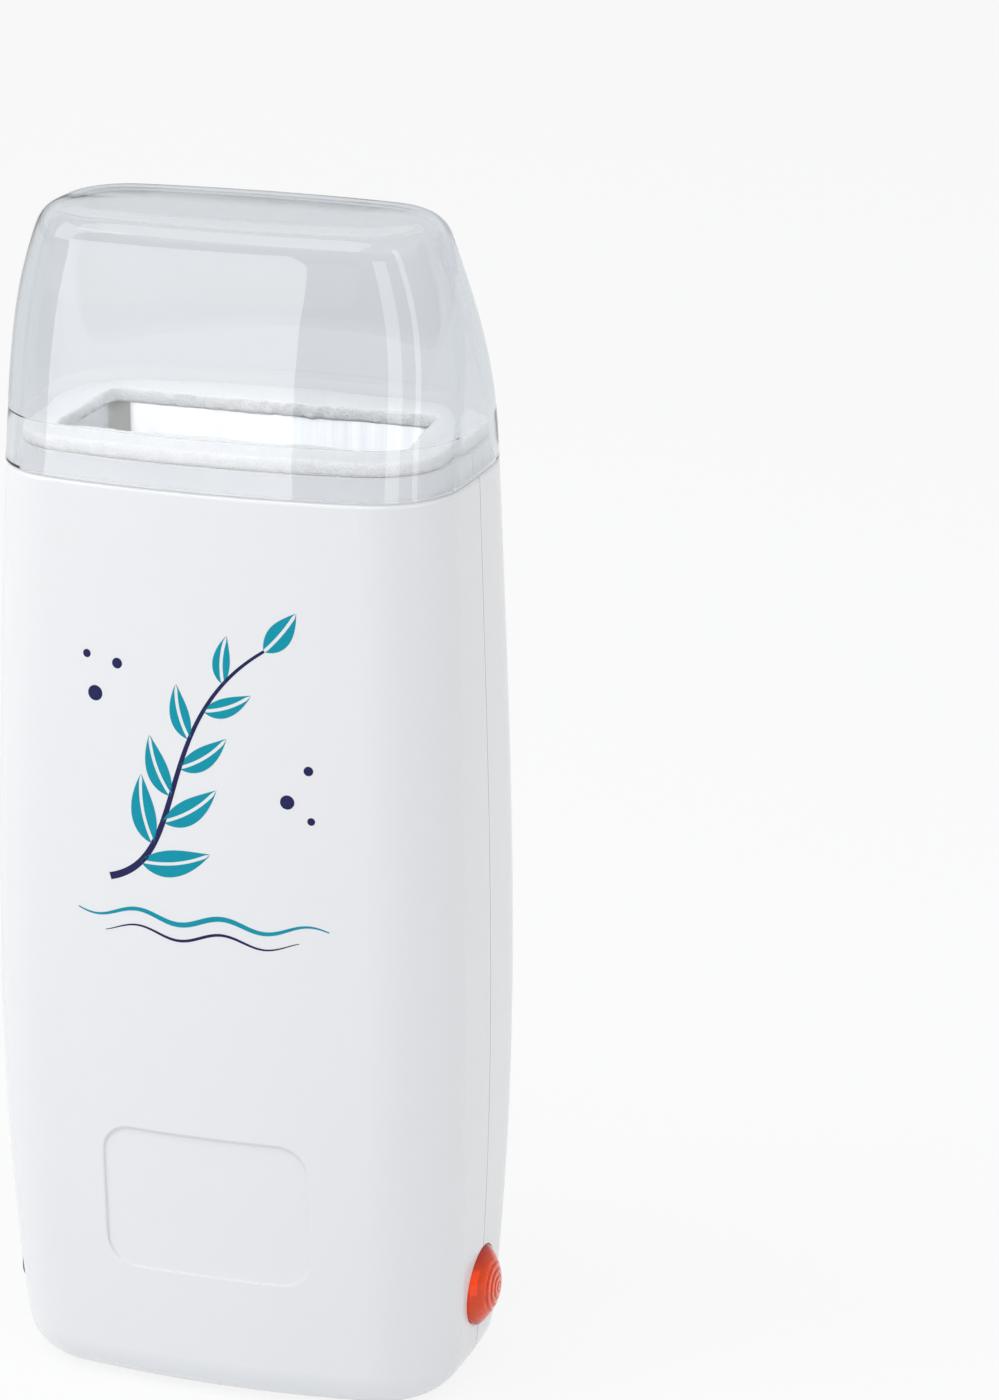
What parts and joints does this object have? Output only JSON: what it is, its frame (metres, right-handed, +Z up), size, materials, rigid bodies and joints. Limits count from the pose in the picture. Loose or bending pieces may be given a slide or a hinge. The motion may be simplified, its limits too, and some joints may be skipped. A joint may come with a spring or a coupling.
{
  "type": "roll-on wax heater",
  "caption": "Upright rounded heater for roll-on wax cartridges: white two-part case, aluminium-lined well with a foam edge, clear lift-off cover, side mains inlet and pilot lamp.",
  "frame": {"origin": "on the surface it stands on, under the middle of the cartridge well, in the plane of the seam", "axes": "+Z up out of the well, -Y the front face with the label recess, +X the pilot lamp's side, -X the mains inlet's side"},
  "size_m": [0.085, 0.056, 0.2026],
  "materials": {
    "white_abs": "glossy injection-moulded ABS",
    "clear_cover": "clear plastic with a slight blue tint",
    "foam": "soft die-cut foam",
    "heat_plate": "drawn aluminium sheet, satin",
    "inner_plastic": "natural heat-resistant nylon",
    "element_case": "extruded aluminium tube",
    "polyimide": "amber insulating film",
    "spring_steel": "bare spring steel",
    "felt": "needled glass felt",
    "amber_lens": "moulded amber acrylic",
    "lamp_glass": "clear glass",
    "resistor_body": "lacquered film resistor",
    "inlet_black": "moulded nylon",
    "pin_metal": "nickel-plated brass",
    "cap_nylon": "crimped nylon cap",
    "lead_brown": "silicone insulation",
    "lead_blue": "silicone insulation",
    "lead_white": "silicone insulation",
    "screw_steel": "zinc-plated steel"
  },
  "bodies": {
    "housing": {"front_shell": "white_abs", "rear_shell": "white_abs", "foam_gasket": "foam", "deck_frame": "inner_plastic", "front_heat_plate": "heat_plate", "rear_heat_plate": "heat_plate", "well_cradle": "inner_plastic", "ptc_heater": "element_case", "heater_pad": "polyimide", "heater_clamp": "spring_steel", "plate_rivets": "heat_plate", "thermal_fuse": "pin_metal", "fuse_clip": "spring_steel", "front_insulation": "felt", "rear_insulation": "felt", "pilot_lens": "amber_lens", "neon_lamp": "lamp_glass", "lamp_holder": "inner_plastic", "lamp_resistor": "resistor_body", "inlet_socket": "inlet_black", "inlet_pins": "pin_metal", "splice_caps": "cap_nylon", "live_lead": "lead_brown", "neutral_lead": "lead_blue", "fuse_lead": "lead_brown", "lamp_leads": "lead_white", "case_screws": "screw_steel"},
    "cover": {"cover": "clear_cover"}
  },
  "joints": [
    {"name": "cover_lift", "type": "slide", "parent": "housing", "child": "cover", "axis": [0, 0, 1], "range_m": [0, 0.08]}
  ]
}
